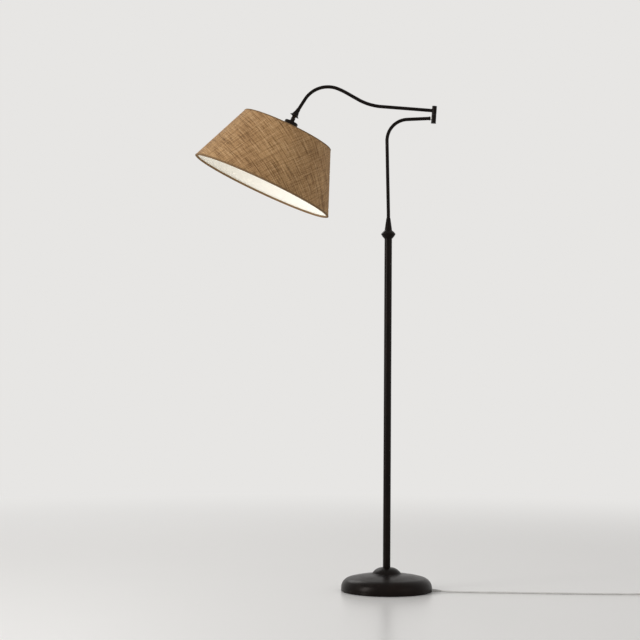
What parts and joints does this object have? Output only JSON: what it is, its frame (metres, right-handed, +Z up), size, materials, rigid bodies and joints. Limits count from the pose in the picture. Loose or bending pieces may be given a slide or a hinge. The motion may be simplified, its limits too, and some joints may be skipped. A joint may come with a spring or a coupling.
{
  "type": "bridge floor lamp",
  "caption": "Floor lamp with a domed weighted base, a straight post, a bent arm with a swing barrel, and a tilting tapered drum shade of woven fabric over a rotary-switch socket.",
  "frame": {"origin": "centre of the base's underside, on the floor", "axes": "+Z up along the post; +X the way the lower arm bends, away from the shade; +Y to the back, so -Y faces the viewer"},
  "size_m": [1.482, 0.4402, 1.5167],
  "materials": {
    "bronze_finish": "satin",
    "weight_iron": "matte",
    "pad_felt": "matte",
    "zinc_steel": "satin",
    "bright_neck": "polished",
    "friction_washer": "satin",
    "socket_phenolic": "satin",
    "socket_ceramic": "matte",
    "shell_brass": "satin",
    "bulb_glass": "gloss",
    "shade_wire": "satin",
    "shade_weave": "matte",
    "shade_lining": "matte",
    "shade_binding": "matte",
    "lead_jacket": "matte",
    "cord_jacket": "satin",
    "relief_rubber": "matte",
    "tie_band": "matte",
    "blade_metal": "polished"
  },
  "bodies": {
    "stand": {"base_cover": "bronze_finish", "base_weight": "weight_iron", "base_pad": "pad_felt", "base_nipple": "zinc_steel", "base_washer": "zinc_steel", "base_nut": "zinc_steel", "post_tube": "bronze_finish", "post_lower_bush": "zinc_steel", "post_upper_bush": "zinc_steel", "collar_ring": "bronze_finish", "cone_nut": "bronze_finish", "lower_arm": "bronze_finish", "arm_ferrule": "bronze_finish", "arm_neck": "bright_neck", "barrel_lower_knuckle": "bronze_finish", "barrel_foot": "bronze_finish", "barrel_washer": "friction_washer", "barrel_snap_ring": "zinc_steel", "stand_lead": "lead_jacket", "strain_relief": "relief_rubber", "cord_run": "cord_jacket", "cord_coil": "cord_jacket", "cord_tail": "cord_jacket", "cord_tie": "tie_band", "plug_body": "cord_jacket", "plug_blades": "blade_metal"},
    "swing_arm": {"barrel_upper_knuckle": "bronze_finish", "barrel_top_cap": "bronze_finish", "upper_arm": "bronze_finish", "swivel_bell": "bronze_finish", "swivel_upper_half": "bronze_finish", "swivel_screw": "bronze_finish", "swivel_nut": "bronze_finish", "swivel_washer": "friction_washer", "arm_lead": "lead_jacket"},
    "head": {"swivel_lower_half": "bronze_finish", "socket_cap": "bronze_finish", "socket_cap_nut": "zinc_steel", "socket_body": "socket_phenolic", "socket_insert": "socket_ceramic", "socket_screw_shell": "shell_brass", "socket_contact": "shell_brass", "head_lead": "lead_jacket", "shade_fitter": "shade_wire", "shade_ring_nut": "socket_phenolic", "shade_bottom_ring": "shade_wire", "shade_cover": "shade_weave", "shade_liner": "shade_lining", "shade_top_trim": "shade_binding", "shade_bottom_trim": "shade_binding", "bulb_base": "shell_brass", "bulb_glass": "bulb_glass"},
    "switch": {"switch_shaft": "zinc_steel", "switch_knob": "socket_phenolic"}
  },
  "joints": [
    {"name": "arm_swing", "type": "hinge", "parent": "stand", "child": "swing_arm", "pos_m": [0.13522, 0, 1.42988], "axis": [0.0628, 0, 0.998], "range_deg": [-150, 150]},
    {"name": "head_tilt", "type": "hinge", "parent": "swing_arm", "child": "head", "pos_m": [-0.28323, 0, 1.42449], "axis": [0, 1, 0], "range_deg": [-35, 50]},
    {"name": "switch_turn", "type": "hinge", "parent": "head", "child": "switch", "pos_m": [-0.30396, -0.02, 1.37899], "axis": [0, -1, 0], "continuous": true}
  ]
}
